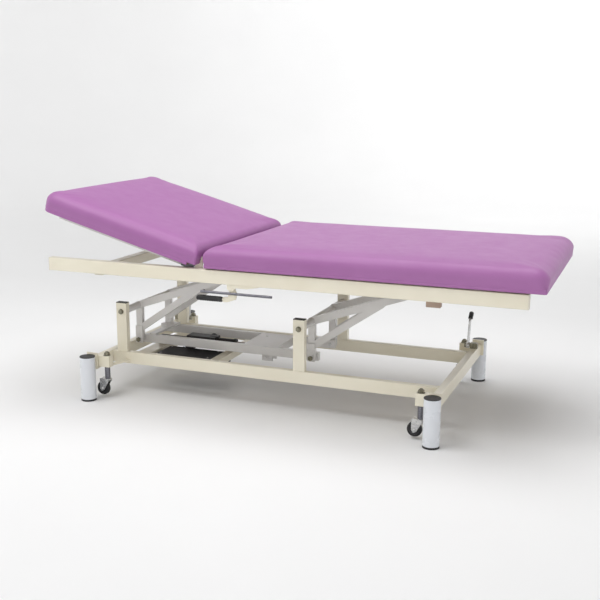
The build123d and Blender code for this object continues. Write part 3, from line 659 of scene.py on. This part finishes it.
lid = bmesh.new()
for cx, cy in ((-524, -160), (-524, -62), (-304, -160), (-304, -62)):
    turned(lid, [(0, 4.6), (0.9, 4.2), (1.6, 3.0), (1.6, 0.1)], at(cx, cy, 147), (0, 0, 1), 28)
finish_mesh(lid, "control_box_screws", "zinc", "base")

gas_ends = bmesh.new()
turned(gas_ends, [(0, 5.4), (0, 9.6), (1, 10.8), (5, 11.4), (7, 11.4)], at(-23, 0, 506.7), (1, 0, 0), 48)
finish_mesh(gas_ends, "gas_spring_collar", "black_plastic", "top_frame")

# ------------------------------------------------------------------ casters
for end_name, end in (("head", -1), ("foot", 1)):
    for side_name, side in (("near", -1), ("far", 1)):
        x, y = end * CASTER_X - 20, side * CASTER_Y
        tag = f"{end_name}_{side_name}"
        hub = bmesh.new()
        for face in (-1, 1):
            turned(hub, [(0, 19), (0.8, 18.4), (0.8, 13), (0.2, 12.2), (0.2, 7.5), (1.4, 7), (1.4, 4.3)],
                   at(x, y + face * 8.6, 38), (0, face, 0), 48)
        finish_mesh(hub, f"wheel_hub_{tag}", "black_plastic", f"wheel_{tag}")
        rivet = bmesh.new()
        for face in (-1, 1):
            turned(rivet, [(0, 6.6), (1.2, 6.4), (2.6, 5.0), (3.3, 2.8), (3.5, 0.1)],
                   at(x, y + face * 13.6, 38), (0, face, 0), 32)
        finish_mesh(rivet, f"axle_heads_{tag}", "zinc", f"fork_{tag}")
        race = bmesh.new()
        turned(race, [(0, 15.2), (0.4, 16.4), (2.4, 17), (4.4, 16.4), (5.2, 13.5), (5.6, 11.6)],
               at(end * CASTER_X, y, 75), (0, 0, 1), 40)
        finish_mesh(race, f"swivel_race_{tag}", "zinc", f"fork_{tag}")

# ------------------------------------------------------------------ grips
def ribs(angle):
    """Shallow lengthwise flutes."""
    return 1 + 0.02 * sin(angle * 16)


grip = bmesh.new()
profile = [(0, 9.6)]
for k in range(9):
    profile += [(8 + 10 * k, 10.25), (10 + 10 * k, 10.7), (14 + 10 * k, 10.7), (16 + 10 * k, 10.25)]
profile += [(99, 9.6)]
turned(grip, profile, at(-224, -390.5, 455), (1, 0, 0), 48)
finish_mesh(grip, "release_grip_sleeve", "black_plastic", "release_handle")

TILT = radians(48)
ALONG = Vector((0, sin(TILT), cos(TILT)))
for name, x in (("head", -646), ("foot", 675)):
    knee = at(x, 325 + 104 * sin(radians(12)), 180 + 104 * cos(radians(12)))
    cap = bmesh.new()
    turned(cap, [(0, 8.6), (0.8, 9.4), (24, 9.7), (28, 9.3), (30.5, 8.0), (32.2, 5.0), (32.6, 0.2)],
           knee + ALONG * 0.0105, ALONG, 64, ribs)
    finish_mesh(cap, f"pedal_cap_{name}", "black_plastic", f"pedal_{name}")

# ------------------------------------------------------------------ stage
def studio_material():
    material, shader = principled("studio_paper", (0.88, 0.88, 0.88), 0.85)
    mottle(material, shader, (0.87, 0.87, 0.87), (0.89, 0.89, 0.89), 0.8)
    return material


dish = bmesh.new()
rings = [(0.01, 0.0), (2.0, 0.0), (5.5, 0.0)]
for k in range(13):
    angle = pi / 2 * k / 12
    rings.append((6.5 + 2.5 * sin(angle), 2.5 - 2.5 * cos(angle)))
rings.append((9.0, 4.5))
STEPS = 96
loops = []
for radius, height in rings:
    loops.append([dish.verts.new((radius * cos(tau * k / STEPS), radius * sin(tau * k / STEPS), height))
                  for k in range(STEPS)])
bridge(dish, loops, closed=False)
dish.faces.new(loops[0])
bmesh.ops.recalc_face_normals(dish, faces=dish.faces)
floor_mesh = bpy.data.meshes.new("studio_floor")
dish.to_mesh(floor_mesh)
dish.free()
for polygon in floor_mesh.polygons:
    polygon.use_smooth = True
floor_mesh.materials.append(studio_material())
floor = bpy.data.objects.new("studio_floor", floor_mesh)
scene.collection.objects.link(floor)

world = bpy.data.worlds.new("studio_world")
scene.world = world
world.use_nodes = True
world.node_tree.nodes["Background"].inputs["Color"].default_value = (1.0, 1.0, 1.0, 1)
world.node_tree.nodes["Background"].inputs["Strength"].default_value = 0.30


def softbox(name, place, target, size, power, color=(1, 1, 1)):
    lamp = bpy.data.lights.new(name, "AREA")
    lamp.shape = "RECTANGLE"
    lamp.size, lamp.size_y = size
    lamp.energy = power
    lamp.color = color
    holder = bpy.data.objects.new(name, lamp)
    holder.location = place
    holder.rotation_mode = "QUATERNION"
    holder.rotation_quaternion = (Vector(target) - Vector(place)).to_track_quat("-Z", "Y")
    scene.collection.objects.link(holder)


softbox("key", (-1.6, -1.7, 4.1), (0, 0, 0.4), (2.6, 2.0), 78)
softbox("fill", (3.0, -3.4, 1.8), (0, 0, 0.3), (2.2, 1.8), 6)
softbox("top", (0.3, 0.6, 4.2), (0, 0, 0.5), (3.4, 2.4), 86)

for k in range(4):
    turn = tau * k / 4
    softbox(f"wall_wash_{k}", (4.6 * sin(turn), 4.6 * cos(turn), 4.4), (9 * sin(turn), 9 * cos(turn), 1.6),
            (5.0, 1.0), 168)

# ------------------------------------------------------------------ camera
azimuth, elevation, roll = radians(21.24), radians(12.36), radians(0.27)
forward = Vector((-sin(azimuth) * cos(elevation), cos(azimuth) * cos(elevation), -sin(elevation)))
right = Vector((cos(azimuth), sin(azimuth), 0))
above = right.cross(forward)
right_rolled = right * cos(roll) + above * sin(roll)
above_rolled = above * cos(roll) - right * sin(roll)
camera_data = bpy.data.cameras.new("camera")
camera_data.lens = 56.84
camera_data.sensor_width = 36
camera = bpy.data.objects.new("camera", camera_data)
camera.rotation_mode = "QUATERNION"
camera.rotation_quaternion = Matrix((right_rolled, above_rolled, -forward)).transposed().to_quaternion()
camera.location = at(1413.3, -3532.2, 1217.3)
scene.collection.objects.link(camera)
scene.camera = camera
